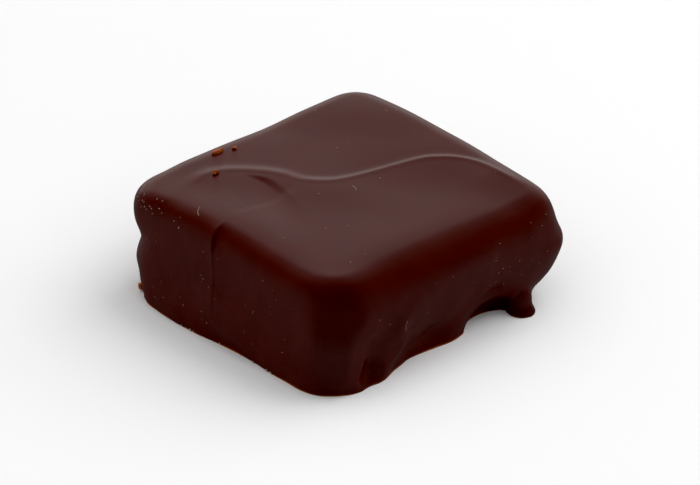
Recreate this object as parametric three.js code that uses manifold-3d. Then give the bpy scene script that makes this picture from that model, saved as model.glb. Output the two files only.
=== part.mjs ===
// A square chocolate praline: a cut slab under a thick dark coat, with a wave of coating
// across its top and an uneven foot where the coat ran down. Millimetres, +Z up.
// The origin is on the table under the middle of the praline. The front wall faces -Y and
// the right wall faces +X.

import * as THREE from "three";
import { mergeVertices } from "three/addons/utils/BufferGeometryUtils.js";
import Module from "manifold-3d";

// Driving dimensions of the coated slab
const SIDE = 29.5; // wall to wall, just below the rounded top edge
const HEIGHT = 11; // table to the flat of the top
const EDGE_RADIUS = 2.4; // shoulder between the top and the walls
const CORNER_RADIUS = { left: 3.6, front: 3.6, right: 2.6, back: 3.2 }; // seen from above
const CORNER_TURN = 7; // length of wall next to a corner over which swellings turn to face the next wall
const FLARE = 0.95; // how far the walls lean out by the time they reach the table
const HALF = SIDE / 2;

// How finely the skin is divided, and how far it goes on below the table before the cut
const CELLS_ACROSS = 42;
const CELLS_UP = 16;
const BELOW_TABLE = 0.8;

// The wave: a bead of coating that wanders from the left corner to the back wall.
// Its crest passes these places on the top, in order of y.
const WAVE_CREST = [
  [-10.1, -15.4],
  [-10.4, -7.8],
  [-8.3, -4.1],
  [-3.9, -2.0],
  [-1.0, 1.3],
  [0.2, 6.5],
  [2.1, 10.7],
  [5.2, 12.7],
  [9.0, 13.9],
  [12.0, 15.4],
].map(([x, y]) => new THREE.Vector2(x, y));
const WAVE_HEIGHT = 0.38;
const WAVE_STEEP_SIDE = 0.6; // width of the slope towards the front
const WAVE_GENTLE_SIDE = 1.7; // width of the slope towards the back
const WAVE_STARTS = { from: -10.2, to: -7.2 }; // the stretch of y over which it rises out of the top
const WAVE_ENDS = { from: 12.4, to: 13.9 }; // and over which it runs out on the back shoulder
const WAVE_ROW = -HALF + 14 * (SIDE / CELLS_ACROSS); // x of the row of skin points that is laid along it

// The lap: a second layer of coating over the left end, which stops in a straight edge
const LAP_EDGE_TOP = -2.35; // x of its edge on the top
const LAP_EDGE_WALL = -1.65; // x of its edge on the front wall
const LAP_END_TOP = -4.2; // y where it ends on the top
const LAP_END_WALL = { from: -2.75, to: -10.75 }; // y over which it thickens on the left wall
const LAP_THICKNESS = { top: 0.14, wall: 0.34 };
const LAP_SOFTNESS = 0.3;

// Places round the outline, as a distance from the left corner: front, right, back, left wall
const frontWall = (x) => x + HALF;
const rightWall = (y) => SIDE + y + HALF;
const backWall = (x) => 2 * SIDE + HALF - x;
const leftWall = (y) => 3 * SIDE + HALF - y;
const OUTLINE = 4 * SIDE;

// Swellings (out above 0) and hollows of the coat on the walls: a middle, at a place round the
// outline and a height, how far it reaches along the wall and up or down it, and how far out.
const WALL_FORMS = [
  // left corner: the neck under the lap's lip, a bulge and the tuck above the table
  { at: frontWall(-HALF), height: 5.7, along: 4, up: 1.7, out: -0.95 },
  { at: frontWall(-HALF), height: 4.6, along: 6, up: 7.0, out: -0.75 },
  { at: frontWall(-HALF), height: 0.0, along: 7, up: 3.0, out: -1.4 },
  // front wall: a slow hollow above the foot, which widens to the front corner
  { at: frontWall(-4.5), height: 2.2, along: 9, up: 2.2, out: -0.35 },
  { at: frontWall(HALF), height: 0.0, along: 6, up: 3.4, out: 0.7 },
  // first lobe of the right wall, with the dimple between its ridges
  { at: rightWall(-9.4), height: 2.6, along: 2.6, up: 3.0, out: -0.75 },
  { at: rightWall(-12.2), height: 3.6, along: 2.2, up: 3.4, out: 0.25 },
  { at: rightWall(-5.6), height: 2.9, along: 2.0, up: 3.2, out: 0.4 },
  // right wall: the notch between two lobes, the tucked second lobe and its hollow
  { at: rightWall(-5.0), height: 0.0, along: 4.4, up: 2.4, out: -1.25 },
  { at: rightWall(0.0), height: 0.0, along: 9.0, up: 3.2, out: -2.0 },
  { at: rightWall(-1.7), height: 2.8, along: 2.8, up: 2.6, out: -0.35 },
  { at: rightWall(1.5), height: 1.6, along: 1.6, up: 2.2, out: 0.45 },
  // right wall: the slow swelling across its upper half
  { at: rightWall(1), height: 6.6, along: 12, up: 3.2, out: 0.35 },
  // right corner: the wall slants out to a keen bulge, then runs far in below it
  { at: rightWall(HALF), height: 9.0, along: 5, up: 1.8, out: -0.6 },
  { at: rightWall(HALF), height: 6.2, along: 5, up: 1.6, out: 0.3 },
  { at: rightWall(HALF), height: 0.0, along: 8, up: 5.7, out: -3.2 },
  // back wall and left wall: slow swellings and a lobed foot like those in front
  { at: backWall(4), height: 0.0, along: 4.5, up: 3.0, out: 0.3 },
  { at: backWall(0), height: 1.5, along: 2.2, up: 3.2, out: -0.5 },
  { at: backWall(-5), height: 0.0, along: 4.5, up: 2.4, out: 0.3 },
  { at: backWall(-3), height: 6.0, along: 8, up: 3.0, out: 0.3 },
  { at: leftWall(9), height: 0.0, along: 4.0, up: 2.4, out: 0.3 },
  { at: leftWall(4.5), height: 2.0, along: 2.4, up: 3.4, out: -0.45 },
  { at: leftWall(-2), height: 0.0, along: 5.0, up: 2.8, out: 0.3 },
  { at: leftWall(-7.5), height: 2.4, along: 2.2, up: 3.0, out: -0.35 },
];

// The hollow under the right wall, where no coat reached the table, and the drip beside it:
// the neck that hangs from the wall and the drop that spread at its foot
const ARCH = { middle: [15.2, 5.35, 0], half_size: [2.75, 3.5, 2.95] };
const DRIP_NECK = { middle: [13.9, 9.2, 2.3], half_size: [1.3, 1.3, 2.7] };
const DRIP_FOOT = { middle: [14.0, 9.6, 0.1], half_size: [1.4, 1.35, 0.8] };

// Slow unevenness of the top: places, how far each reaches, and its rise
const TOP_FORMS = [
  { x: -14.2, y: -10.5, reach: 6, rise: -0.4 },
  { x: -14.2, y: 3.9, reach: 5, rise: -0.35 },
  { x: -12.5, y: 11.5, reach: 5, rise: 0.12 },
  { x: 4.0, y: 14.5, reach: 10, rise: 0.4 },
  { x: 13.5, y: -2.7, reach: 7, rise: -0.12 },
];
const DENT = { x: -4.5, y: -4.45, half_length: 2.1, half_width: 0.8, depth: 0.24 };

const CORNER_NAMES = { "-1,-1": "left", "1,-1": "front", "1,1": "right", "-1,1": "back" };

// Falls smoothly from 1 in the middle to 0 at a distance of 1
const bell = (distance) => (Math.abs(distance) < 1 ? (1 - distance * distance) ** 2 : 0);

// Rises smoothly from 0 to 1 as value passes from low to high
const ramp = (value, low, high) => THREE.MathUtils.smoothstep(value, low, high);

// Distance between two places round the outline, the short way, with its sign
function apart(place, other) {
  const difference = place - other;
  return difference - OUTLINE * Math.round(difference / OUTLINE);
}

const waveLine = new THREE.SplineCurve(WAVE_CREST).getPoints(240);

// The crest's x at a given y, and how fast it runs sideways there
function waveAt(y) {
  const next = Math.max(1, waveLine.findIndex((point) => point.y >= y));
  const [from, to] = [waveLine[next - 1], waveLine[next]];
  const slope = (to.x - from.x) / (to.y - from.y);
  return { x: from.x + slope * (y - from.y), slope };
}

// Height of the wave's bead at a place on the top: steep in front of the crest, gentle behind it
function waveRelief(x, y) {
  const crest = waveAt(y);
  const distance = (x - crest.x) / Math.hypot(1, crest.slope);
  const width = distance > 0 ? WAVE_STEEP_SIDE : WAVE_GENTLE_SIDE;
  const strength = ramp(y, WAVE_STARTS.from, WAVE_STARTS.to) * (1 - ramp(y, WAVE_ENDS.from, WAVE_ENDS.to));
  return WAVE_HEIGHT * strength * Math.exp(-((distance / width) ** 2));
}

// How much of the lap's thickness there is at a given x, for an edge at edgeX
const lapShare = (x, edgeX) => 1 - ramp(x, edgeX - LAP_SOFTNESS, edgeX + LAP_SOFTNESS);

// Height of everything that stands above or below the flat of the top
function topRelief(x, y) {
  const slow = TOP_FORMS.reduce(
    (sum, form) => sum + form.rise * bell(Math.hypot(x - form.x, y - form.y) / form.reach),
    0,
  );
  const lap = LAP_THICKNESS.top * lapShare(x, LAP_EDGE_TOP) * (1 - ramp(y, LAP_END_TOP - 2, LAP_END_TOP));
  const dent = DENT.depth * bell(Math.hypot((x - DENT.x) / DENT.half_length, (y - DENT.y) / DENT.half_width));
  return slow + waveRelief(x, y) + lap - dent;
}

// How far the coat stands out from the upright wall at a place round the outline and a height
function wallRelief(place, height) {
  const level = Math.max(height, 0);
  const lean = FLARE * (1 - level / HEIGHT) ** 1.6;
  const forms = WALL_FORMS.reduce((sum, form) => {
    const distance = Math.hypot(apart(place, form.at) / form.along, (level - form.height) / form.up);
    return sum + form.out * bell(distance);
  }, 0);
  const lapBegins = ramp(apart(place, leftWall(0)), -LAP_END_WALL.from, -LAP_END_WALL.to);
  const lapStops = lapShare(apart(place, frontWall(0)), LAP_EDGE_WALL);
  const lap = LAP_THICKNESS.wall * lapBegins * lapStops * ramp(level, 1.5, 4.5);
  return lean + forms + lap;
}

// Slides one row of points onto the wave, so that its crest is a clean line of edges
function laidAlongWave(x, y) {
  const share = x < WAVE_ROW ? (x + HALF) / (WAVE_ROW + HALF) : (HALF - x) / (HALF - WAVE_ROW);
  return x + (waveAt(y).x - WAVE_ROW) * share;
}

// The rounded outline of the slab where a ray through (x, y) meets it: the point, the way out
// from it, and its place round the outline
function outlineAt(x, y) {
  const size = HALF / Math.max(Math.abs(x), Math.abs(y), 1e-6);
  const square = new THREE.Vector2(x, y).multiplyScalar(size);
  const sides = new THREE.Vector2(Math.sign(square.x) || 1, Math.sign(square.y) || 1);
  const radius = CORNER_RADIUS[CORNER_NAMES[`${sides.x},${sides.y}`]];
  const straight = HALF - radius;
  const point = square.clone();
  const past = new THREE.Vector2(Math.abs(square.x) - straight, Math.abs(square.y) - straight);
  if (past.x > 0 && past.y > 0) {
    point.copy(past.setLength(radius)).addScalar(straight).multiply(sides);
  }
  const turned = (distance) => Math.max(Math.abs(distance) - HALF + CORNER_TURN, 0);
  const out = new THREE.Vector2(turned(square.x), turned(square.y)).normalize().multiply(sides);
  const onFrontOrBack = Math.abs(square.y) >= Math.abs(square.x);
  const wall = onFrontOrBack ? (square.y < 0 ? frontWall : backWall) : square.x > 0 ? rightWall : leftWall;
  return { point, out, place: wall(onFrontOrBack ? square.x : square.y) };
}

// Where a point on the surface of the plain box goes on the finished praline
function coated(box) {
  const x = laidAlongWave(box.x, box.y);
  const inset = HALF - Math.max(Math.abs(x), Math.abs(box.y));
  const drop = HEIGHT - box.z;
  let [inside, below] = [inset, drop];
  if (inset < EDGE_RADIUS && drop < EDGE_RADIUS) {
    const ray = new THREE.Vector2(EDGE_RADIUS - inset, EDGE_RADIUS - drop).setLength(EDGE_RADIUS);
    [inside, below] = [EDGE_RADIUS - ray.x, EDGE_RADIUS - ray.y];
  }
  const { point, out, place } = outlineAt(x, box.y);
  const ground = point.multiplyScalar(1 - inside / HALF);
  const height = HEIGHT - below + topRelief(ground.x, ground.y) * (1 - ramp(below, 0, HALF / 2));
  const nearWall = 1 - ramp(inside, 0, HALF / 2);
  ground.addScaledVector(out, wallRelief(place, HEIGHT - below) * nearWall);
  return new THREE.Vector3(ground.x, ground.y, height);
}

// A box with its skin divided into cells, each point of it moved to its place on the praline
function skinGeometry() {
  const depth = HEIGHT + BELOW_TABLE;
  const box = new THREE.BoxGeometry(SIDE, SIDE, depth, CELLS_ACROSS, CELLS_ACROSS, CELLS_UP);
  box.translate(0, 0, HEIGHT - depth / 2);
  const positions = box.getAttribute("position");
  const corner = new THREE.Vector3();
  for (let i = 0; i < positions.count; i++) {
    corner.fromBufferAttribute(positions, i);
    positions.setXYZ(i, ...coated(corner));
  }
  return box;
}

const wasm = await Module();
wasm.setup();

// A closed geometry as a solid that can be cut
function solidFrom(geometry) {
  const bare = new THREE.BufferGeometry();
  bare.setAttribute("position", geometry.getAttribute("position"));
  bare.setIndex(geometry.getIndex());
  const merged = mergeVertices(bare, 1e-3);
  const vertProperties = merged.getAttribute("position").array;
  const triVerts = new Uint32Array(merged.getIndex().array);
  return new wasm.Manifold(new wasm.Mesh({ numProp: 3, vertProperties, triVerts }));
}

// A solid as a geometry with smooth normals
function geometryFrom(solid) {
  const { vertProperties, triVerts } = solid.getMesh();
  const geometry = new THREE.BufferGeometry();
  geometry.setAttribute("position", new THREE.BufferAttribute(vertProperties, 3));
  geometry.setIndex(new THREE.BufferAttribute(triVerts, 1));
  geometry.computeVertexNormals();
  return geometry;
}

// An egg-shaped solid
function eggSolid({ middle, half_size }) {
  const egg = new THREE.SphereGeometry(1, 24, 16);
  egg.scale(...half_size);
  egg.translate(...middle);
  return solidFrom(egg);
}

// The skin with the hollow taken out and the drip joined on, cut level where it stands on the table
function pralineGeometry() {
  const block = 2 * SIDE;
  const table = new THREE.BoxGeometry(block, block, block);
  table.translate(0, 0, -block / 2);
  const body = solidFrom(skinGeometry()).subtract(eggSolid(ARCH));
  const whole = body.add(eggSolid(DRIP_NECK)).add(eggSolid(DRIP_FOOT));
  return geometryFrom(whole.subtract(solidFrom(table)));
}

const darkChocolate = new THREE.MeshStandardMaterial({ color: 0x3f1d17, roughness: 0.34, metalness: 0 });

const praline = new THREE.Mesh(pralineGeometry(), darkChocolate);
praline.name = "praline";

const part = new THREE.Group();
part.add(praline);

export default part;
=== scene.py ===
# %% [markdown]
# # A chocolate praline
# This lesson dresses a small square praline: a cut slab of filling under a thick coat of dark
# chocolate. The coat is the whole show here. It has soft shoulders, a raised wave across the top,
# a second layer lapped over one end, walls that swell and tuck in, and a foot where it ran down.
#
# The solid part is loaded first. It fixes the size and the place of everything that follows.

# %% Load the solid praline
import math
import random

import bpy
import numpy as np
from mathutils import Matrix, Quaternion, Vector


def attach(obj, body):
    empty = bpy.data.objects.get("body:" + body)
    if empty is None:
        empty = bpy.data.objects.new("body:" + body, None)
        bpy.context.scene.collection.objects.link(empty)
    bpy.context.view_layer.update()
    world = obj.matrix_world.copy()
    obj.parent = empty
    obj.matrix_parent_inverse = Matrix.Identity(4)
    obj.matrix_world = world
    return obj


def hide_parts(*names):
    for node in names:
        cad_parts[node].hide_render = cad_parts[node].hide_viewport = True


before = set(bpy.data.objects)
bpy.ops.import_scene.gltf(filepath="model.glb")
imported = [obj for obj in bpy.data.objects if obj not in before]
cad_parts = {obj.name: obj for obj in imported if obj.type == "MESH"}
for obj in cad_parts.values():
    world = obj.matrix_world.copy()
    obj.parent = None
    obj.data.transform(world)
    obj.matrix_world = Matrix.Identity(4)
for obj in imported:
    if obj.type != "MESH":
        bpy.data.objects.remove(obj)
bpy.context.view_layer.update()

# %% [markdown]
# ## Camera
# The praline is seen from one corner, a little from above, through a long lens. A long lens from far
# away keeps opposite edges nearly parallel, as they are in a product photograph of something so small.
# The camera is placed by its azimuth and elevation, so the numbers say how the viewer stands.

# %% Set up the camera
MM = 0.001
IMAGE_WIDTH = 700
PIXELS_PER_MM = 10.786
AZIMUTH = math.radians(48.5)
ELEVATION = math.radians(29.3)
DISTANCE = 800 * MM
AIM = Vector((1.15, -0.24, 5.5)) * MM

camera_way = Vector((
    math.sin(AZIMUTH) * math.cos(ELEVATION),
    -math.cos(AZIMUTH) * math.cos(ELEVATION),
    math.sin(ELEVATION),
))
bpy.ops.object.camera_add(location=AIM + DISTANCE * camera_way)
camera = bpy.context.object
camera.name = "viewpoint"
camera.rotation_euler = camera_way.to_track_quat("Z", "Y").to_euler()
camera.data.sensor_width = 36
camera.data.lens = camera.data.sensor_width * DISTANCE / (IMAGE_WIDTH / PIXELS_PER_MM * MM)
camera.data.clip_end = 10
bpy.context.scene.camera = camera
print("lens, mm:", round(camera.data.lens))

# %% [markdown]
# ## Floor and light
# The praline stands on a white table. Soft light falls from behind and from low on both sides, and none
# comes from the viewer's side, so the top is light, the walls are darker, and the corner that points at
# the viewer is the darkest. A satin coat also mirrors what is round it, and that draws the form: the top
# mirrors a pale card behind it, the walls mirror the table, and the shoulders mirror the dark room.
# Lamps and cards are kept apart for that. Lamps only light the coat, and cards only show in its gloss.

# %% Helpers for shader trees
def add_node(tree, kind, **settings):
    """Adds a node to a tree, with settings of its own."""
    node = tree.nodes.new(kind)
    for name, value in settings.items():
        setattr(node, name, value)
    return node


def graded(tree, value, low, high, at_low, at_high):
    """A number that goes from at_low to at_high as a value passes from low to high."""
    node = add_node(tree, "ShaderNodeMapRange")
    tree.links.new(value, node.inputs["Value"])
    settings = {"From Min": low, "From Max": high, "To Min": at_low, "To Max": at_high}
    for name, setting in settings.items():
        if isinstance(setting, bpy.types.NodeSocket):
            tree.links.new(setting, node.inputs[name])
        else:
            node.inputs[name].default_value = setting
    return node.outputs["Result"]


def in_mirrors(tree, plain, mirrored):
    """One value for direct light, and another for what glossy surfaces mirror."""
    ray = add_node(tree, "ShaderNodeLightPath")
    return graded(tree, ray.outputs["Is Glossy Ray"], 0, 1, plain, mirrored)


# %% [markdown]
# ## The table
# The table is one plain white plane. In the print it is whiter than what the coat mirrors and than the
# light that it throws back at the walls, so it has a lower value for each of those, the same all over.

# %% Lay the table
TABLE_WIDTH = 4.0
TABLE = 0.9
TABLE_BOUNCE = 0.62
MIRRORED_TABLE = 0.15

bpy.ops.mesh.primitive_plane_add(size=TABLE_WIDTH)
floor = bpy.context.object
floor.name = "table"
table_white = bpy.data.materials.new("table_white")
table_white.use_nodes = True
table = table_white.node_tree
table_shader = table.nodes["Principled BSDF"]
bounced = add_node(table, "ShaderNodeLightPath").outputs["Is Diffuse Ray"]
plain = graded(table, bounced, 0, 1, TABLE, TABLE_BOUNCE)
table.links.new(in_mirrors(table, plain, MIRRORED_TABLE), table_shader.inputs["Base Color"])
table_shader.inputs["Roughness"].default_value = 0.9
table_shader.inputs["Specular IOR Level"].default_value = 0.1
floor.data.materials.append(table_white)
print("table, metres:", tuple(floor.dimensions.xy))

# %% [markdown]
# ## Lamps and cards
# Three soft boxes light the praline: one behind it, and one low on either side. The table has two lamps of
# its own, so its white and its shadow can be set apart from the light on the coat. No lamp shows in the
# gloss. The gloss shows two pale cards behind the praline, and a dim tent all round.

# %% Lamps, cards and a dim tent
BEHIND = 228
LEFT_HAND = -42
RIGHT_HAND = 138
FAR_RIGHT = 165
CARD_CREAM = (1.0, 0.97, 0.93)
TENT_GREY = 0.25
TENT_IN_MIRRORS = 0.25


def soft_box(name, azimuth, elevation, distance, width, height, radiance):
    """A rectangular lamp that looks at the praline from the given direction."""
    turn, rise = math.radians(azimuth), math.radians(elevation)
    way = Vector((math.sin(turn) * math.cos(rise), -math.cos(turn) * math.cos(rise), math.sin(rise)))
    bpy.ops.object.light_add(type="AREA", location=way * distance)
    lamp = bpy.context.object
    lamp.name = name
    lamp.rotation_euler = way.to_track_quat("Z", "Y").to_euler()
    lamp.data.shape = "RECTANGLE"
    lamp.data.size = width
    lamp.data.size_y = height
    lamp.data.energy = radiance * math.pi * width * height
    return lamp


lamps = [
    soft_box("back_box", BEHIND, elevation=50, distance=1.2, width=1.0, height=1.0, radiance=5.1),
    soft_box("left_box", LEFT_HAND, elevation=12, distance=1.0, width=1.0, height=0.4, radiance=4.0),
    soft_box("right_box", RIGHT_HAND, elevation=12, distance=1.0, width=1.0, height=0.4, radiance=4.0),
]
table_lamps = [
    soft_box("ceiling", RIGHT_HAND, elevation=85, distance=1.0, width=4.0, height=4.0, radiance=0.66),
    soft_box("table_lamp", FAR_RIGHT, elevation=45, distance=1.0, width=1.0, height=1.0, radiance=1.75),
]
for lamp in lamps + table_lamps:
    lamp.visible_glossy = False
only_table = bpy.data.collections.new("only_the_table")
only_table.objects.link(floor)
for lamp in table_lamps:
    lamp.light_linking.receiver_collection = only_table
not_table = bpy.data.collections.new("not_the_table")
not_table.objects.link(floor)
not_table.collection_objects[0].light_linking.link_state = "EXCLUDE"
for lamp in lamps:
    lamp.light_linking.receiver_collection = not_table
cards = [
    soft_box("back_card", BEHIND, elevation=24, distance=0.9, width=1.4, height=0.7, radiance=0.52),
    soft_box("horizon_card", BEHIND, elevation=4, distance=0.95, width=1.8, height=0.16, radiance=0.95),
]
for card in cards:
    card.visible_diffuse = False
    card.data.color = CARD_CREAM

world = bpy.data.worlds.new("light_tent")
world.use_nodes = True
tent = world.node_tree.nodes["Background"]
tent.inputs["Color"].default_value = (TENT_GREY, TENT_GREY, TENT_GREY, 1)
world.node_tree.links.new(in_mirrors(world.node_tree, 1.0, TENT_IN_MIRRORS), tent.inputs["Strength"])
bpy.context.scene.world = world
print("lamps:", len(lamps), "for the table:", len(table_lamps), "cards:", len(cards))

# %% [markdown]
# ## The print
# A photograph of something so dark is printed with deep shadows. The black point does that: light below
# it prints as black, and everything above it moves down a little.

# %% Set the black point
BLACK_POINT = 0.006
view = bpy.context.scene.view_settings
view.view_transform = "Standard"
view.use_curve_mapping = True
view.curve_mapping.black_level = (BLACK_POINT, BLACK_POINT, BLACK_POINT)
view.curve_mapping.update()
print("black point:", BLACK_POINT)

# %% [markdown]
# ## The slab
# Under the coat is a square cut from a sheet of filling. A cube of its size is the natural start. Its
# four upright edges are rounded, each by its own radius, because the coat is thicker on some corners.
# Then the rim of the top is rounded. The rim has a weight on each edge, so one Bevel makes a tight
# shoulder over the front wall and a wide one over the right wall.

# %% Sizes of the slab
SIDE = 29.5
HALF = SIDE / 2
HEIGHT = 11.0
BELOW_TABLE = 1.5
CORNER_RADIUS = {(-1, -1): 3.6, (1, -1): 3.6, (1, 1): 3.0, (-1, 1): 3.2}
SHOULDER = {"front": 1.7, "right": 2.1, "back": 2.0, "left": 2.0}
FRONT_SHOULDER_ON_LEFT = 1.1
RIGHT_SHOULDER_IN_FRONT = 1.6
CORNER_BLEND = 4.0
TOUCHING = 0.01


# %% A helper that selects edges by their place
def select_edges(piece, wanted):
    """Selects the edges whose two ends, in millimetres, satisfy wanted(a, b)."""
    bpy.ops.object.mode_set(mode="EDIT")
    bpy.ops.mesh.select_mode(type="EDGE")
    bpy.ops.mesh.select_all(action="DESELECT")
    bpy.ops.object.mode_set(mode="OBJECT")
    corners = piece.data.vertices
    for edge in piece.data.edges:
        edge.select = wanted(*(corners[index].co / MM for index in edge.vertices))
    bpy.ops.object.mode_set(mode="EDIT")


# %% The cube and its upright corners
bpy.ops.object.select_all(action="DESELECT")
bpy.ops.mesh.primitive_cube_add(
    size=1,
    location=(0, 0, (HEIGHT - BELOW_TABLE) / 2 * MM),
    scale=(SIDE * MM, SIDE * MM, (HEIGHT + BELOW_TABLE) * MM),
)
coat = bpy.context.object
coat.name = "chocolate_coat"
bpy.ops.object.transform_apply(location=True, rotation=True, scale=True)

for (x_side, y_side), radius in CORNER_RADIUS.items():
    place = Vector((x_side, y_side)) * HALF
    select_edges(coat, lambda a, b: max((a.xy - place).length, (b.xy - place).length) < TOUCHING)
    bpy.ops.mesh.bevel(offset=radius * MM, segments=8, affect="EDGES", clamp_overlap=False)
bpy.ops.object.mode_set(mode="OBJECT")
print("slab with round corners:", len(coat.data.polygons), "faces")

# %% The shoulders
def shoulder_at(point):
    """The shoulder's radius at a point of the rim, blended round the corners."""
    walls = {"front": -point.y, "right": point.x, "back": point.y, "left": -point.x}
    pull = {wall: max(reach - HALF + CORNER_BLEND, 0) ** 2 for wall, reach in walls.items()}
    to_the_back = min(max((point.y + 12.0) / 10.0, 0), 1)
    to_the_right = min(max((point.x + 10.0) / 9.0, 0), 1)
    right_radius = RIGHT_SHOULDER_IN_FRONT + (SHOULDER["right"] - RIGHT_SHOULDER_IN_FRONT) * to_the_back
    front_radius = FRONT_SHOULDER_ON_LEFT + (SHOULDER["front"] - FRONT_SHOULDER_ON_LEFT) * to_the_right
    radius = dict(SHOULDER, right=right_radius, front=front_radius)
    return sum(pull[wall] * radius[wall] for wall in walls) / sum(pull.values())


select_edges(coat, lambda a, b: min(a.z, b.z) > HEIGHT - TOUCHING and (a - b).length > HALF)
bpy.ops.mesh.subdivide(number_cuts=12)
bpy.ops.object.mode_set(mode="OBJECT")
widest = max(SHOULDER.values())
weights = coat.data.attributes.new("bevel_weight_edge", "FLOAT", "EDGE")
for edge in coat.data.edges:
    ends = [coat.data.vertices[index].co / MM for index in edge.vertices]
    if all(end.z > HEIGHT - TOUCHING for end in ends):
        weights.data[edge.index].value = shoulder_at((ends[0] + ends[1]) / 2) / widest
shoulder_bevel = coat.modifiers.new("shoulder", "BEVEL")
shoulder_bevel.limit_method = "WEIGHT"
shoulder_bevel.width = widest * MM
shoulder_bevel.segments = 8
shoulder_bevel.use_clamp_overlap = False
bpy.ops.object.modifier_apply(modifier="shoulder")
print("slab with shoulders:", len(coat.data.polygons), "faces")

# %% [markdown]
# ## A soft skin
# A bevelled box has a few long faces, and nothing on it can swell or sag. A voxel remesh lays an even
# net of small quads over it instead, like dough rolled onto the slab. The first net is coarse, because
# the big forms come first. A brush for them follows: it paints a weight on every point of the net, and a
# Displace modifier pushes the skin along an axis by that weight.

# %% Lay the net
def remesh(piece, voxel_mm):
    """Covers a piece with an even net of quads."""
    modifier = piece.modifiers.new("net", "REMESH")
    modifier.mode = "VOXEL"
    modifier.voxel_size = voxel_mm * MM
    bpy.ops.object.modifier_apply(modifier="net")
    print(piece.name, "net of", voxel_mm, "mm:", len(piece.data.vertices), "points")


COARSE_NET = 0.5
remesh(coat, COARSE_NET)


# %% The brush
def points_of(piece):
    """The piece's points, in millimetres, as three arrays."""
    flat = np.empty(3 * len(piece.data.vertices), dtype=np.float32)
    piece.data.vertices.foreach_get("co", flat)
    return (flat.reshape(-1, 3) / MM).astype(float).T


def push(piece, name, amounts, axis):
    """Pushes the skin along an axis by an amount for each point, in millimetres."""
    for sign in (1, -1):
        strength = float((sign * amounts).max())
        if strength < 0.002:
            continue
        group = piece.vertex_groups.new(name=name)
        for index in np.flatnonzero(sign * amounts > 0.001):
            group.add([int(index)], float(sign * amounts[index] / strength), "REPLACE")
        modifier = piece.modifiers.new(name, "DISPLACE")
        modifier.vertex_group = name
        modifier.direction = axis
        modifier.mid_level = 0
        modifier.strength = sign * strength * MM
        bpy.ops.object.modifier_apply(modifier=name)
        piece.vertex_groups.remove(piece.vertex_groups[name])
    lowest, highest = (round(float(end), 2) for end in (amounts.min(), amounts.max()))
    print(name, "pushed from", lowest, "to", highest, "mm", axis)


def bell(distance):
    """Falls smoothly from 1 in the middle to 0 at a distance of 1."""
    return np.where(np.abs(distance) < 1, (1 - distance * distance) ** 2, 0.0)


def ramp(value, low, high):
    """Rises smoothly from 0 to 1 as value passes from low to high."""
    share = np.clip((value - low) / (high - low), 0, 1)
    return share * share * (3 - 2 * share)


# %% [markdown]
# ## Swelling walls
# The coat ran down the walls and set: it leans out to a wide foot in front, tucks in under the right
# wall, and sags into a bulge at the right corner. Each form is one soft push with a middle, a reach
# along the wall, a reach up and down, and a depth. Places along the walls are measured as one distance
# round the outline, from the left corner, so a form can also run round a corner.

# %% Places round the outline
OUTLINE = 4 * SIDE
CORNER_TURN = 7.0


def front(x):
    return x + HALF


def right(y):
    return SIDE + y + HALF


def back(x):
    return 2 * SIDE + HALF - x


def left(y):
    return 3 * SIDE + HALF - y


def round_outline(x, y):
    """For points of the skin: their place round the outline and the way out from the wall there."""
    size = HALF / np.maximum(np.maximum(np.abs(x), np.abs(y)), 1e-6)
    sx, sy = x * size, y * size
    on_front_or_back = np.where(sy < 0, front(sx), back(sx))
    on_side = np.where(sx > 0, right(sy), left(sy))
    place = np.where(np.abs(sy) >= np.abs(sx), on_front_or_back, on_side)
    turn_x = np.maximum(np.abs(sx) - HALF + CORNER_TURN, 0) * np.sign(sx)
    turn_y = np.maximum(np.abs(sy) - HALF + CORNER_TURN, 0) * np.sign(sy)
    length = np.hypot(turn_x, turn_y)
    return place, turn_x / length, turn_y / length


def apart(place, other):
    """Distance between places round the outline, the short way, with its sign."""
    difference = place - other
    return difference - OUTLINE * np.round(difference / OUTLINE)


# %% Curves through a few places
def curve_through(places, steps=24):
    """A smooth curve through the places, as a row of points."""
    known = np.array([places[0], *places, places[-1]], dtype=float)
    share = np.linspace(0, 1, steps, endpoint=False)[:, None]
    rows = []
    for before, start, end, after in zip(known, known[1:], known[2:], known[3:]):
        bend = 2 * before - 5 * start + 4 * end - after
        twist = 3 * start - before - 3 * end + after
        rows.append(start + 0.5 * ((end - before) * share + bend * share ** 2 + twist * share ** 3))
    return np.vstack([*rows, known[-1:]])


# %% The walls' forms
LEAN = 1.45
FOOT_ROLL = 0.8
FOOT_ROLL_HEIGHT = 3.0
# place round the outline, height, reach along, reach up, how far out
WALL_FORMS = {
    "front_foot_left": (front(-5.2), 0.0, 6.4, 4.0, 0.48),
    "front_bulge": (front(1.5), 3.8, 5.5, 3.0, 0.4),
    "front_foot_hollow": (front(4.2), 0.0, 3.6, 3.0, -0.26),
    "back_foot_right": (back(4.0), 0.0, 4.5, 3.0, 0.3),
    "back_flute": (back(0.0), 1.5, 2.2, 3.2, -0.5),
    "back_foot_left": (back(-5.0), 0.0, 4.5, 2.4, 0.3),
    "back_swell": (back(-3.0), 6.0, 8.0, 3.0, 0.3),
    "left_foot_back": (left(9.0), 0.0, 4.0, 2.4, 0.3),
    "left_flute": (left(4.5), 2.0, 2.4, 3.4, -0.45),
    "left_foot_front": (left(-2.0), 0.0, 5.0, 2.8, 0.3),
    "left_second_flute": (left(-7.5), 2.4, 2.2, 3.0, -0.35),
}
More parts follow.
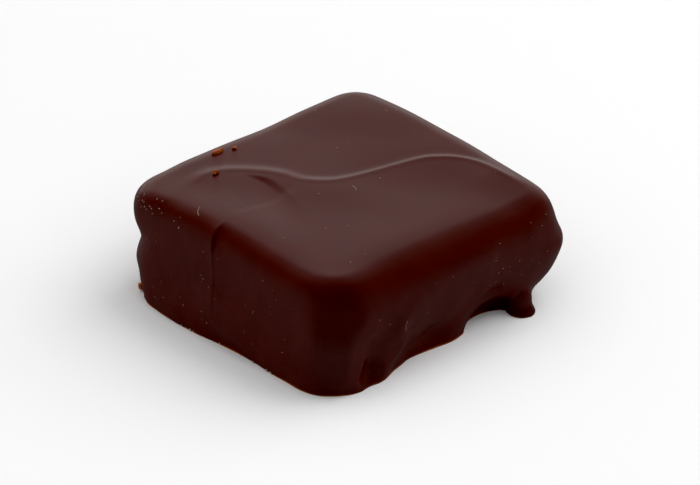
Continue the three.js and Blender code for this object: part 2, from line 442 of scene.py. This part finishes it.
# y along the right wall, height of the hem, how far out the hem is, how far out the foot is
RIGHT_WALL = [
    (-HALF, 5.5, 0.95, 0.7),
    (-12.1, 6.2, 1.1, 0.75),
    (-10.0, 6.4, 1.15, 0.65),
    (-8.2, 6.4, 1.15, 0.4),
    (-6.8, 6.5, 1.15, -0.25),
    (-5.6, 6.6, 1.1, -0.6),
    (-4.4, 6.7, 1.1, -1.0),
    (-3.0, 7.3, 1.05, -1.05),
    (-1.0, 7.8, 0.95, -0.9),
    (1.0, 8.1, 0.9, -0.75),
    (3.0, 8.2, 0.85, -1.25),
    (6.0, 8.0, 0.75, -1.4),
    (9.5, 7.3, 0.8, -0.8),
    (12.0, 6.5, 0.9, -1.7),
    (HALF, 6.4, 0.95, -2.25),
]
HEM_STARTS = 11.0


def right_section(y, level):
    """The right wall: out to a hem where the coat sagged, then in to the foot."""
    along, hem, hem_out, foot_out = curve_through(RIGHT_WALL).T
    hem_here = np.interp(y, along, hem)
    hem_out_here = np.interp(y, along, hem_out)
    foot_out_here = np.interp(y, along, foot_out)
    lowered = np.clip((HEM_STARTS - level) / (HEM_STARTS - hem_here), 0, 1)
    above = hem_out_here * np.sin(lowered * math.pi / 2)
    down = np.clip(1 - level / hem_here, 0, 1)
    below = hem_out_here + (foot_out_here - hem_out_here) * ramp(down, 0, 1) ** 1.2
    return np.where(level > hem_here, above, below)


# place, reach before it and after it, then height and how far out, up the corner
CORNER_PROFILES = {
    "left": (front(-HALF), 14.0, 5.5, [
        (0.0, -0.9), (0.9, -0.95), (2.2, -0.62), (3.5, -0.05), (4.5, -0.3), (5.7, -0.72), (6.6, -0.3),
        (7.3, 0.1), (8.4, 0.18), (9.6, 0.08), (HEIGHT + 1, 0.0),
    ]),
    "front": (front(HALF), 5.2, 4.8, [
        (0.0, 0.55), (0.5, 0.85), (1.2, 1.08), (2.2, 1.17), (4.0, 1.2), (5.4, 1.0), (7.0, 0.5),
        (8.5, 0.0), (10.0, -0.45), (HEIGHT + 1, -0.7),
    ]),
    "right": (right(HALF), 6.0, 12.0, [
        (0.0, -2.25), (0.6, -2.1), (1.3, -1.6), (2.3, -0.85), (3.85, 0.1), (5.2, 0.62), (6.2, 0.88),
        (7.0, 0.45), (8.5, -0.05), (9.6, -0.2), (HEIGHT + 1, -0.25),
    ]),
}


def shape_corners(place, level, out):
    """Draws the left, the front and the right corner after their outlines."""
    for middle, before, after, profile in CORNER_PROFILES.values():
        heights, outs = curve_through(profile).T
        gap = apart(place, middle)
        share = bell(gap / np.where(gap < 0, before, after))
        out = out + (np.interp(level, heights, outs) - out) * share
    return out


def wall_field(place, y, z):
    """How far the wall stands out from the plain slab."""
    level = np.maximum(z, 0)
    lean = LEAN * np.clip(1 - level / HEIGHT, 0, 1) ** 1.3
    lean = lean - FOOT_ROLL * np.clip(1 - level / FOOT_ROLL_HEIGHT, 0, 1) ** 2
    past_front_corner = ramp(place, front(HALF) - 3, front(HALF) + 2)
    past_right_corner = ramp(place, right(HALF) + 2, right(HALF) + 9)
    is_right = past_front_corner * (1 - past_right_corner)
    out = lean + (right_section(y, level) - lean) * is_right
    for middle, height, along, up, depth in WALL_FORMS.values():
        out = out + depth * bell(np.hypot(apart(place, middle) / along, (level - height) / up))
    return shape_corners(place, level, out)


x, y, z = points_of(coat)
place, out_x, out_y = round_outline(x, y)
near_wall = 1 - ramp(HALF - np.maximum(np.abs(x), np.abs(y)), 0, HALF / 2)
swell = wall_field(place, y, z) * near_wall
push(coat, "walls_sideways", swell * out_x, "X")
push(coat, "walls_lengthways", swell * out_y, "Y")

# %% [markdown]
# ## An uneven top
# The top is flat to the eye, but its rims dip and rise by a few tenths of a millimetre. At the far rims
# that shows against the background, and at the near rims in where the gloss ends. These slow forms are
# pushed in now, while the net is coarse.

# %% Slow dips and rises of the rim
# x, y, reach, rise
TOP_FORMS = {
    "left_rim_dip": (-14.2, 2.5, 5.0, -0.12),
    "left_corner_dip": (-14.0, -12.0, 5.0, -0.3),
    "left_back_rise": (-13.0, 8.5, 7.0, 0.14),
    "back_corner_rise": (-9.0, 13.8, 8.0, 0.32),
    "back_rim_rise": (-0.5, 14.5, 13.0, 0.6),
    "right_back_rise": (10.5, 14.0, 6.0, 0.18),
    "right_rim_rise": (14.0, -1.0, 13.0, 0.24),
    "front_rim_rise": (1.0, -16.0, 12.0, 0.22),
    "lap_rim_rise": (-3.5, -14.8, 8.0, 0.22),
}
x, y, z = points_of(coat)
rise = np.zeros_like(x)
for middle_x, middle_y, reach, amount in TOP_FORMS.values():
    rise += amount * bell(np.hypot(x - middle_x, y - middle_y) / reach)
push(coat, "rim_unevenness", rise * ramp(z, HEIGHT - HALF / 2, HEIGHT), "Z")

# %% [markdown]
# ## Soft shoulders
# Melted coat flows off an edge and leaves no line where the top ends and the shoulder starts. A Smooth
# modifier lets the upper part of the coarse net settle, so the shoulders fade into the top. Over the two
# walls in front the top also starts to fall a little before its rim, all but the corner between them.

# %% Let the shoulders settle
def settle(piece, name, amounts, repeats):
    """Smooths the skin where the weights are above 0."""
    group = piece.vertex_groups.new(name=name)
    for index in np.flatnonzero(amounts > 0.01):
        group.add([int(index)], float(amounts[index]), "REPLACE")
    modifier = piece.modifiers.new(name, "SMOOTH")
    modifier.vertex_group = name
    modifier.factor = 0.5
    modifier.iterations = repeats
    bpy.ops.object.modifier_apply(modifier=name)
    piece.vertex_groups.remove(piece.vertex_groups[name])


ROLL_WIDTH = 4.0
ROLL_START = 2.6
ROLL_DROP = 0.2
WIDER_ON_RIGHT = 0.5
SHARP_CORNER_INSET = 1.5
SHARP_CORNER_REACH = 6.5


def rolled(past):
    """How far the top has fallen: slowly at first, then evenly."""
    past = np.clip(past, 0, ROLL_WIDTH + WIDER_ON_RIGHT) / ROLL_START
    return np.where(past < 1, past ** 2, 2 * past - 1)


x, y, z = points_of(coat)
over_front = rolled(-y - HALF + ROLL_WIDTH)
over_right = rolled(x - HALF + ROLL_WIDTH + WIDER_ON_RIGHT)
roll = np.maximum(over_front, over_right)
from_corner = np.hypot(x - HALF + SHARP_CORNER_INSET, y + HALF - SHARP_CORNER_INSET)
roll *= 1 - bell(from_corner / SHARP_CORNER_REACH)
push(coat, "roll_off", -ROLL_DROP * roll * ramp(z, HEIGHT - 3.0, HEIGHT - 0.5), "Z")
x, y, z = points_of(coat)
settle(coat, "soft_shoulders", ramp(z, HEIGHT - 4.0, HEIGHT - 2.0), 5)
print("shoulders settled")

# %% [markdown]
# ## The hollow and the drip
# Near the right corner the coat never reached the table. It left a low dark hollow with a thick lip, and
# beside it one drip that ran on and spread a small foot. The hollow is cut with a Boolean and an
# egg-shaped tool, and the drip is two more eggs joined on. The net is smoothed first, because a Boolean
# keeps every facet that it meets.

# %% Cut the hollow and join the drip
def egg(name, middle, half_size):
    """An egg-shaped tool."""
    bpy.ops.object.select_all(action="DESELECT")
    bpy.ops.mesh.primitive_uv_sphere_add(
        segments=48, ring_count=32, radius=MM, location=Vector(middle) * MM, scale=half_size
    )
    tool = bpy.context.object
    tool.name = name
    bpy.ops.object.transform_apply(location=True, rotation=True, scale=True)
    return tool


def combine(piece, tool, operation):
    """Cuts a tool out of a piece, or joins it on, and throws the tool away."""
    bpy.context.view_layer.objects.active = piece
    modifier = piece.modifiers.new(tool.name, "BOOLEAN")
    modifier.object = tool
    modifier.operation = operation
    modifier.solver = "EXACT"
    bpy.ops.object.modifier_apply(modifier=modifier.name)
    bpy.data.objects.remove(tool)
    print(operation.lower(), "done:", len(piece.data.polygons), "faces")


soften = coat.modifiers.new("soften", "SUBSURF")
soften.levels = 1
soften.render_levels = 1
bpy.context.view_layer.objects.active = coat
bpy.ops.object.modifier_apply(modifier="soften")

combine(coat, egg("hollow", (15.4, 5.95, 0.0), (3.5, 3.8, 2.75)), "DIFFERENCE")
combine(coat, egg("drip_neck", (13.6, 9.5, 1.0), (1.3, 1.3, 2.2)), "UNION")
combine(coat, egg("drip_foot", (14.1, 9.5, 0.1), (1.4, 1.35, 0.8)), "UNION")

# %% [markdown]
# ## A fine skin
# Melted chocolate has no corners, so the cuts need round lips. A second, much finer net is laid over
# everything, and a Smooth modifier lets it settle. It settles longest round the hollow and the drip,
# where the coat was thickest when it set.

# %% Lay the fine net and let it settle
FINE_NET = 0.17
remesh(coat, FINE_NET)
x, y, z = points_of(coat)
settle(coat, "all_over", np.ones_like(x), 6)
round_drip = bell(np.hypot((y - 8.0) / 7.0, np.hypot((x - 14.0) / 5.0, (z - 1.0) / 4.0)))
settle(coat, "round_drip", round_drip ** 0.5, 8)

# %% [markdown]
# ## The wave
# A line of coating stands up on the top like a small wave, with a short slope behind its crest and a long
# one in front. The crest is a smooth curve through a few places. Every point of the skin gets its distance
# from that curve, with a sign for the side, and the distance gives the height.

# %% Distance from a curve
def from_curve(a, b, curve, reach):
    """Signed distance from a curve, positive on its right, and the share of its length passed there.

    Points further than reach keep an infinite distance.
    """
    distance = np.full(a.shape, np.inf)
    passed = np.zeros(a.shape)
    low, high = curve.min(0) - reach, curve.max(0) + reach
    near = np.flatnonzero((a > low[0]) & (a < high[0]) & (b > low[1]) & (b < high[1]))
    spot = np.column_stack((a[near], b[near]))
    best = np.full(near.shape, np.inf)
    for step, (start, end) in enumerate(zip(curve, curve[1:])):
        way = end - start
        share = np.clip(((spot - start) @ way) / (way @ way), 0, 1)
        gap = spot - start - share[:, None] * way
        length = np.hypot(gap[:, 0], gap[:, 1])
        side = np.where(way[1] * gap[:, 0] - way[0] * gap[:, 1] >= 0, 1.0, -1.0)
        closer = length < np.abs(best)
        best = np.where(closer, length * side, best)
        passed[near[closer]] = (step + share[closer]) / (len(curve) - 1)
    distance[near] = best
    return distance, passed


# %% Raise the wave
WAVE_CREST = [
    (-9.0, -12.0), (-9.55, -10.1), (-9.75, -8.5), (-9.45, -6.95), (-8.35, -5.45), (-7.0, -4.2),
    (-5.35, -3.15), (-3.3, -2.5), (-1.85, -1.3), (-0.8, 0.25), (0.35, 4.15), (1.6, 8.0), (2.65, 9.55),
    (4.05, 10.8), (5.9, 11.65), (8.5, 12.0), (11.0, 12.2),
]
WAVE_HEIGHT = 0.2
WAVE_BACK = {"left": 0.95, "right": 0.6}
WAVE_FRONT = {"left": 4.0, "right": 9.0}
WAVE_EDGE = 0.35
WAVE_EDGE_SHARE = 0.12
WAVE_STARTS = (-11.5, -8.0)
WAVE_ENDS = (7.5, 12.0)
WAVE_GROWS = (6.0, 11.0)
WAVE_GROWTH = 0.35

x, y, z = points_of(coat)
upper_side = ramp(z, HEIGHT - 3.0, HEIGHT - 1.0)
distance, _ = from_curve(x, y, curve_through(WAVE_CREST), 20.0)
to_right = ramp(y, -4.0, 4.0)
back_slope = WAVE_BACK["left"] + (WAVE_BACK["right"] - WAVE_BACK["left"]) * to_right
front_slope = WAVE_FRONT["left"] + (WAVE_FRONT["right"] - WAVE_FRONT["left"]) * to_right
behind = np.exp(-((distance / back_slope) ** 2))
before = WAVE_EDGE_SHARE * np.exp(-((distance / WAVE_EDGE) ** 2))
before += (1 - WAVE_EDGE_SHARE) * np.exp(-((distance / front_slope) ** 2))
strength = ramp(y, *WAVE_STARTS) * (1 - ramp(x, *WAVE_ENDS)) * (1 + WAVE_GROWTH * ramp(y, *WAVE_GROWS))
push(coat, "wave", WAVE_HEIGHT * strength * np.where(distance > 0, before, behind) * upper_side, "Z")

# %% [markdown]
# ## The lap and the scoop
# Over the left end lies a second layer of coat. On the front wall it stands proud and stops in an edge
# that slants a little, with a small notch at its upper end. On the top it is scooped out: a shallow spoon
# shape with a sharp far rim, a crease along its right side, and no rim at all in front.

# %% Press the scoop and raise the lap
CREASE = [
    (-2.2, -20.0), (-2.3, -14.2), (-2.5, -12.3), (-2.3, -10.0), (-2.1, -7.1), (-2.2, -5.6), (-2.7, -3.2),
    (-4.0, 0.0),
]
# for places across the view: where the rim is towards the viewer, and how wide its slope is
SCOOP_RIM = [
    (-9.2, -1.9, 0.4), (-8.4, -1.7, 0.6), (-7.4, -1.35, 0.9), (-6.8, -0.95, 1.3), (-6.3, -0.45, 1.5),
    (-5.9, 0.1, 1.5),
]
CREASE_DEPTH = 0.045
SCOOP_DEPTH = 0.2
SCOOP_RIGHT_END = -5.7
LAP_TOP = -1.7
LAP_SLANT = 0.18
LAP_PROUD = 0.07
LAP_PROUD_ABOVE = 0.09
LAP_FADES_OVER = 0.9
SUNK_BEYOND_LAP = 0.1
LAP_SHOULDER = 0.08
NOTCH_DEPTH = 0.13
NOTCH_BELOW_TOP = 0.9
SHOULDER_REACH = 1.3

x, y, z = points_of(coat)
upper_side = ramp(z, HEIGHT - 1.6, HEIGHT - 0.6)
to_crease, _ = from_curve(x, y, curve_through(CREASE), 9.0)
inside_crease = ramp(-to_crease, -0.6, 0.6) * np.exp(-np.maximum(-to_crease, 0) / 2.2)
inside_crease *= ramp(y, -13.5, -9.0) * (1 - ramp(y, -4.5, -3.2))
push(coat, "crease", -CREASE_DEPTH * inside_crease * upper_side, "Z")
across = x * math.cos(AZIMUTH) + y * math.sin(AZIMUTH)
towards = x * math.sin(AZIMUTH) - y * math.cos(AZIMUTH)
places, rim, widths = curve_through(SCOOP_RIM).T
past_rim = towards - np.interp(across, places, rim)
slope_width = np.interp(across, places, widths)
scoop = ramp(past_rim / slope_width, -0.15, 1.0) * (1 - ramp(past_rim - slope_width, 0, 9.0))
right_end = SCOOP_RIGHT_END + 0.5 * np.maximum(past_rim, 0)
scoop *= ramp(across, -9.4, -6.8) * (1 - ramp(across, -6.2, right_end))
push(coat, "scoop", -SCOOP_DEPTH * scoop * upper_side, "Z")

x, y, z = points_of(coat)
front_wall = ramp(-y, HALF - 2.2, HALF - 0.6)
past_edge = x - LAP_TOP - LAP_SLANT * (HEIGHT - z)
behind_edge = (1 - ramp(past_edge, -0.1, 0.25)) * np.exp(np.minimum(past_edge, 0) / LAP_FADES_OVER)
beyond_edge = ramp(past_edge, -0.1, 2.4) * (1 - ramp(past_edge, 2.6, 9.0))
proud = LAP_PROUD + LAP_PROUD_ABOVE * ramp(z, 6.5, 9.5)
lap = SUNK_BEYOND_LAP * beyond_edge - proud * behind_edge
push(coat, "lap", lap * ramp(z, 1.0, 5.0) * front_wall, "Y")
full_shoulder = behind_edge * bell((z - HEIGHT) / SHOULDER_REACH) * front_wall
push(coat, "lap_shoulder", LAP_SHOULDER * full_shoulder, "NORMAL")
notch = ramp(past_edge, -0.2, 0.5) * (1 - ramp(past_edge, 0.7, 2.2))
notch *= bell((z - HEIGHT + NOTCH_BELOW_TOP) / SHOULDER_REACH)
push(coat, "notch", -NOTCH_DEPTH * notch * front_wall, "NORMAL")

# %% [markdown]
# ## Flutes on the right wall
# Where the coat slid down the right wall it left raised lines with dimples between them, and a thick lip
# round the hollow. The lines are curves on the wall, measured by place along it and height, and raised
# the same way as the wave. A dimple is a bell pressed in.

# %% Raise the flutes
# curve on the wall (y, z), height, width
FLUTES = {
    "hem_fold": ([
        (-13.4, 1.0), (-13.4, 2.2), (-13.3, 3.4), (-13.0, 5.0), (-12.3, 6.4), (-11.2, 7.5), (-10.0, 8.0),
    ], 0.28, 0.8),
    "hem": ([(-9.0, 6.9), (-3.2, 7.5), (0.0, 7.8), (5.0, 8.0), (8.0, 8.0)], 0.07, 0.9),
    "hook": ([
        (-9.0, 1.2), (-8.0, 1.4), (-7.0, 2.1), (-6.5, 3.4), (-6.9, 5.1), (-5.8, 6.4), (-3.8, 7.6),
    ], 0.42, 1.0),
    "hollow_lip": ([(1.6, 0.4), (2.0, 1.6), (2.5, 2.9), (3.4, 4.1), (4.8, 4.6), (6.3, 4.6)], 0.2, 0.9),
}
# middle on the wall (y, z), reach along, reach up, depth
DIMPLES = {
    "low_dimple": (-10.3, 1.5, 1.8, 2.1, -0.9),
    "middle_dimple": (-10.1, 4.0, 2.1, 2.3, -0.45),
    "high_dimple": (-8.7, 5.9, 1.9, 2.1, -0.25),
    "lobe_hollow": (-1.6, 1.9, 2.6, 1.9, -0.25),
}
x, y, z = points_of(coat)
right_wall = ramp(x, HALF - 4.0, HALF - 2.0)
relief = np.zeros_like(x)
for places, height, width in FLUTES.values():
    distance, passed = from_curve(y, z, curve_through(places), 4 * width)
    relief += height * np.exp(-((distance / width) ** 2)) * bell(2 * passed - 1) ** 0.5
for middle_y, middle_z, along, up, depth in DIMPLES.values():
    relief += depth * bell(np.hypot((y - middle_y) / along, (z - middle_z) / up))
push(coat, "flutes", relief * right_wall, "X")
settle(coat, "flutes_settle", right_wall * ramp(HEIGHT - z, 2.0, 4.0), 3)

# %% [markdown]
# ## Slow unevenness
# A coat that set by itself is never quite even. A cloud texture, a few millimetres from bump to bump,
# moves the walls by about a tenth of a millimetre. It hardly changes the outline, but it breaks up what
# the walls mirror.

# %% Make the walls uneven
CLOUD_SIZE = 3.5
UNEVENNESS = 0.24

clouds = bpy.data.textures.new("slow_clouds", "CLOUDS")
clouds.noise_scale = CLOUD_SIZE * MM
clouds.noise_depth = 1
x, y, z = points_of(coat)
walls = coat.vertex_groups.new(name="uneven_walls")
for index in np.flatnonzero(z < HEIGHT - 0.5):
    walls.add([int(index)], float(ramp(HEIGHT - z[index], 0.5, 3.0)), "REPLACE")
uneven = coat.modifiers.new("uneven", "DISPLACE")
uneven.texture = clouds
uneven.texture_coords = "LOCAL"
uneven.vertex_group = "uneven_walls"
uneven.mid_level = 0.5
uneven.strength = UNEVENNESS * MM
bpy.ops.object.modifier_apply(modifier="uneven")
coat.vertex_groups.remove(coat.vertex_groups["uneven_walls"])
print("walls made uneven")

# %% [markdown]
# ## A flat foot
# The praline set on a flat sheet, so everything below the table is cut away and the cut is closed with
# one face. The faces are then shaded smooth, all but the sharp edge round that cut.

# %% Cut the foot level
bpy.ops.object.mode_set(mode="EDIT")
bpy.ops.mesh.select_all(action="SELECT")
bpy.ops.mesh.bisect(
    plane_co=(0, 0, 0), plane_no=(0, 0, 1), use_fill=True, clear_inner=True, threshold=1e-6
)
bpy.ops.object.mode_set(mode="OBJECT")
bpy.ops.object.shade_smooth_by_angle(angle=math.radians(60))
print("finished coat:", len(coat.data.vertices), "points", len(coat.data.polygons), "faces")

# %% [markdown]
# ## Dark chocolate
# Dark chocolate is a very deep red-brown with a satin shine. It isn't one colour: cocoa and butter drift
# apart a little, in patches of a few millimetres and in a grain that is hardly visible. The same noise
# makes the shine uneven. Right at the table the coat is thin, and the light that comes through it there
# is painted into its colour as an orange glow, in patches.

# %% The coat's material
def noise(tree, place, bumps_per_mm, detail=2.0):
    """Soft noise on the piece's own coordinates."""
    node = add_node(tree, "ShaderNodeTexNoise")
    tree.links.new(place, node.inputs["Vector"])
    node.inputs["Scale"].default_value = bumps_per_mm / MM
    node.inputs["Detail"].default_value = detail
    return node.outputs["Fac"]


def mixed(tree, share, first, second):
    """A colour between two colours, each given as numbers or as another colour's output."""
    node = add_node(tree, "ShaderNodeMix", data_type="RGBA")
    tree.links.new(share, node.inputs["Factor"])
    for socket, colour in ((node.inputs[6], first), (node.inputs[7], second)):
        if isinstance(colour, bpy.types.NodeSocket):
            tree.links.new(colour, socket)
        else:
            socket.default_value = (*colour, 1)
    return node.outputs[2]


DEEP_BROWN = (0.041, 0.0029, 0.0013)
WARM_BROWN = (0.058, 0.0046, 0.0023)
# The orange is a painted glow for light through the thin foot, not the chocolate's own colour.
PAINTED_GLOW_ORANGE = (0.45, 0.11, 0.015)
PAINTED_GLOW_HEIGHT = 0.22
PATCHES_PER_MM = 0.35
GRAIN_PER_MM = 4.0
PAINTED_GLOW_PATCHES_PER_MM = 0.25
BUMPS_PER_MM = 3.0

dark_chocolate = bpy.data.materials.new("dark_chocolate")
dark_chocolate.use_nodes = True
tree = dark_chocolate.node_tree
coat_shader = tree.nodes["Principled BSDF"]
place = add_node(tree, "ShaderNodeTexCoord").outputs["Object"]
patches = graded(tree, noise(tree, place, PATCHES_PER_MM), 0.3, 0.7, 0.0, 0.5)
grain = graded(tree, noise(tree, place, GRAIN_PER_MM), 0.3, 0.7, 0.0, 0.5)
both = add_node(tree, "ShaderNodeMath", operation="ADD")
tree.links.new(patches, both.inputs[0])
tree.links.new(grain, both.inputs[1])
brown = mixed(tree, both.outputs["Value"], DEEP_BROWN, WARM_BROWN)
height = add_node(tree, "ShaderNodeSeparateXYZ")
tree.links.new(place, height.inputs["Vector"])
# Painted glow: just above the table, patches of orange are painted into the colour for light coming through
# the coat.
painted_glow_patches = graded(tree, noise(tree, place, PAINTED_GLOW_PATCHES_PER_MM), 0.42, 0.62, 0.1, 0.8)
painted_glow = graded(tree, height.outputs["Z"], 0, PAINTED_GLOW_HEIGHT * MM, painted_glow_patches, 0)
tree.links.new(mixed(tree, painted_glow, brown, PAINTED_GLOW_ORANGE), coat_shader.inputs["Base Color"])
tree.links.new(graded(tree, both.outputs["Value"], 0, 1, 0.32, 0.4), coat_shader.inputs["Roughness"])
coat_shader.inputs["IOR"].default_value = 1.45
fine_grain = add_node(tree, "ShaderNodeBump")
fine_grain.inputs["Strength"].default_value = 0.06
fine_grain.inputs["Distance"].default_value = 0.05 * MM
tree.links.new(noise(tree, place, BUMPS_PER_MM), fine_grain.inputs["Height"])
tree.links.new(fine_grain.outputs["Normal"], coat_shader.inputs["Normal"])
coat.data.materials.clear()
coat.data.materials.append(dark_chocolate)
print("coat's material:", len(tree.nodes), "nodes")

# %% [markdown]
# ## Crumbs
# A few crumbs of broken coat lie on the top, and a chip leans at the left corner's foot. A crumb starts
# as a ball of a few dozen faces. Its points are pulled about by a seeded draw, so it is as ragged as broken
# chocolate, and then it is squeezed to its size. To lie on the coat it is turned to the surface there: a
# ray sent at the coat gives the point and the way out.

# %% Where a ray meets the coat
def meet(start, way):
    """The point where a ray meets the coat, and the way out there."""
    _, point, normal, _ = coat.ray_cast(Vector(start) * MM, Vector(way))
    return point, normal


def on_top(x, y):
    return meet((x, y, 3 * HEIGHT), (0, 0, -1))


def on_front(x, z):
    return meet((x, -2 * SIDE, z), (0, 1, 0))


def on_right(y, z):
    return meet((2 * SIDE, y, z), (-1, 0, 0))


def on_back(x, z):
    return meet((x, 2 * SIDE, z), (0, -1, 0))


def on_left(y, z):
    return meet((-2 * SIDE, y, z), (1, 0, 0))


# %% Shape the crumbs
RAGGEDNESS = 0.1


def crumb(name, size, seed, subdivisions=2):
    """A ragged ball, squeezed to a size in millimetres."""
    bpy.ops.object.select_all(action="DESELECT")
    bpy.ops.mesh.primitive_ico_sphere_add(subdivisions=subdivisions, radius=MM / 2)
    piece = bpy.context.object
    piece.name = name
    bpy.ops.object.mode_set(mode="EDIT")
    bpy.ops.mesh.select_all(action="SELECT")
    bpy.ops.transform.vertex_random(offset=RAGGEDNESS * MM, seed=seed)
    bpy.ops.object.mode_set(mode="OBJECT")
    piece.scale = size
    bpy.ops.object.transform_apply(location=False, rotation=False, scale=True)
    return piece


def lay(piece, spot, turn, lift):
    """Lays a piece on the coat, turned about the way out and lifted by some millimetres."""
    point, normal = spot
    facing = normal.to_track_quat("Z", "Y") @ Quaternion((0, 0, 1), math.radians(turn))
    piece.rotation_euler = facing.to_euler()
    piece.location = point + normal * lift * MM
    return piece


def join(name, pieces):
    """Makes one piece of several, with its place in its mesh."""
    bpy.ops.object.select_all(action="DESELECT")
    for piece in pieces:
        piece.select_set(True)
    bpy.context.view_layer.objects.active = pieces[0]
    bpy.ops.object.join()
    whole = bpy.context.object
    whole.name = name
    bpy.ops.object.transform_apply(location=True, rotation=True, scale=True)
    print(name, "of", len(pieces), "pieces:", len(whole.data.polygons), "faces")
    return whole


crumbs = join("crumbs", [
    lay(crumb("long_crumb", (0.42, 1.5, 0.42), seed=3), on_top(-12.5, -4.65), turn=90, lift=0.12),
    lay(crumb("small_crumb", (0.32, 0.5, 0.3), seed=5), on_top(-12.0, -3.0), turn=70, lift=0.1),
    lay(crumb("scoop_crumb", (0.42, 0.85, 0.5), seed=8), on_top(-9.3, -7.6), turn=110, lift=0.15),
    lay(crumb("foot_chip", (0.7, 0.75, 0.6), seed=13), on_front(-12.1, 0.45), turn=40, lift=0.25),
])

# %% [markdown]
# ## Specks
# Pale specks of sugar and butter cling to the coat: most on the left shoulder, some on both walls, a few
# on the top, and a row of larger ones along the foot. One ragged speck is modelled and copied, and a
# seeded draw scatters the copies over the zones. Three thin shavings, each an arc cut from a ring, lie
# among them.

# %% Scatter the specks
draw = random.Random(7)
SPECK_LIFT = 0.2
SPECK_LONGEST = 1.5
SPECK_FLATNESS = 0.8
# how to find the surface, count, first place from and to, second place from and to, size from and to
SPECK_ZONES = {
    "left_shoulder": (on_front, 26, (-13.6, -6.0), (9.3, 10.7), (0.05, 0.12)),
    "front_wall": (on_front, 40, (-12.5, 10.0), (1.5, 9.0), (0.04, 0.09)),
    "right_wall": (on_right, 20, (4.5, 12.5), (3.5, 9.6), (0.05, 0.1)),
    "right_wall_in_front": (on_right, 8, (-12.0, 4.0), (2.0, 9.0), (0.05, 0.08)),
    "top": (on_top, 14, (-12.5, 12.5), (-12.5, 12.5), (0.05, 0.11)),
    "foot": (on_front, 9, (-11.0, 11.0), (0.12, 0.2), (0.12, 0.24)),
    "back_wall": (on_back, 24, (-12.0, 12.0), (1.0, 10.0), (0.05, 0.1)),
    "left_wall": (on_left, 24, (-12.0, 12.0), (1.0, 10.0), (0.05, 0.1)),
}


def copy_of(piece):
    """A copy with a mesh of its own."""
    twin = piece.copy()
    twin.data = piece.data.copy()
    bpy.context.collection.objects.link(twin)
    return twin


speck = crumb("speck", (1.0, 1.0, 1.0), seed=21, subdivisions=1)
scattered = []
for find, count, first, second, sizes in SPECK_ZONES.values():
    for _ in range(count):
        spot = find(draw.uniform(*first), draw.uniform(*second))
        size = draw.uniform(*sizes)
        copy = lay(copy_of(speck), spot, turn=draw.uniform(0, 360), lift=SPECK_LIFT * size)
        copy.scale = (size, size * draw.uniform(1.0, SPECK_LONGEST), size * SPECK_FLATNESS)
        scattered.append(copy)
bpy.data.objects.remove(speck)


# %% Cut the shavings
def shaving(name, radius, arc, thickness):
    """A slender arc: a ring with all but a stretch of it cut away and its ends closed."""
    bpy.ops.object.select_all(action="DESELECT")
    bpy.ops.mesh.primitive_torus_add(
        major_radius=radius * MM, minor_radius=thickness / 2 * MM, major_segments=48, minor_segments=6
    )
    piece = bpy.context.object
    piece.name = name
    bpy.ops.object.mode_set(mode="EDIT")
    bpy.ops.mesh.select_mode(type="VERT")
    bpy.ops.mesh.select_all(action="DESELECT")
    bpy.ops.object.mode_set(mode="OBJECT")
    for corner in piece.data.vertices:
        corner.select = abs(math.degrees(math.atan2(corner.co.y, corner.co.x))) > arc / 2
    bpy.ops.object.mode_set(mode="EDIT")
    bpy.ops.mesh.delete(type="VERT")
    bpy.ops.mesh.select_all(action="SELECT")
    bpy.ops.mesh.fill_holes(sides=0)
    bpy.ops.mesh.select_all(action="SELECT")
    bpy.ops.transform.translate(value=(-radius * MM, 0, 0))
    bpy.ops.object.mode_set(mode="OBJECT")
    return piece


shavings = [
    lay(shaving("shoulder_shaving", 1.2, 65, 0.045), on_top(-5.1, -13.4), turn=232, lift=0.02),
    lay(shaving("wall_shaving", 0.6, 120, 0.04), on_right(-6.7, 5.4), turn=180, lift=0.02),
    lay(shaving("top_shaving", 0.9, 65, 0.035), on_top(1.25, 0.3), turn=20, lift=0.015),
]
specks = join("pale_specks", scattered + shavings)

# %% [markdown]
# ## Broken and pale finishes
# Broken chocolate is dull and more orange than the coat, because light enters at every broken face. The
# specks are pale sugar and butter, with a little brown on them.

# %% Materials of the crumbs and the specks
def dull(name, first, second, bumps_per_mm):
    """A dull finish that drifts between two colours."""
    material = bpy.data.materials.new(name)
    material.use_nodes = True
    tree = material.node_tree
    shader = tree.nodes["Principled BSDF"]
    place = add_node(tree, "ShaderNodeTexCoord").outputs["Object"]
    drift = graded(tree, noise(tree, place, bumps_per_mm), 0.35, 0.65, 0, 1)
    tree.links.new(mixed(tree, drift, first, second), shader.inputs["Base Color"])
    tree.links.new(graded(tree, drift, 0, 1, 0.45, 0.65), shader.inputs["Roughness"])
    return material


BROKEN_DARK = (0.13, 0.013, 0.002)
BROKEN_ORANGE = (0.52, 0.14, 0.03)
SUGAR = (0.5, 0.4, 0.31)
BUTTER = (0.3, 0.19, 0.11)
crumbs.data.materials.append(dull("broken_chocolate", BROKEN_DARK, BROKEN_ORANGE, 1.6))
specks.data.materials.clear()
specks.data.materials.append(dull("pale_sugar", BUTTER, SUGAR, 1.0))

# %% [markdown]
# ## Hand the pieces over
# The fine coat stands for the solid praline and moves with it.

# %% Ride and replace
for piece in (coat, crumbs, specks):
    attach(piece, "root")
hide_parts("praline")
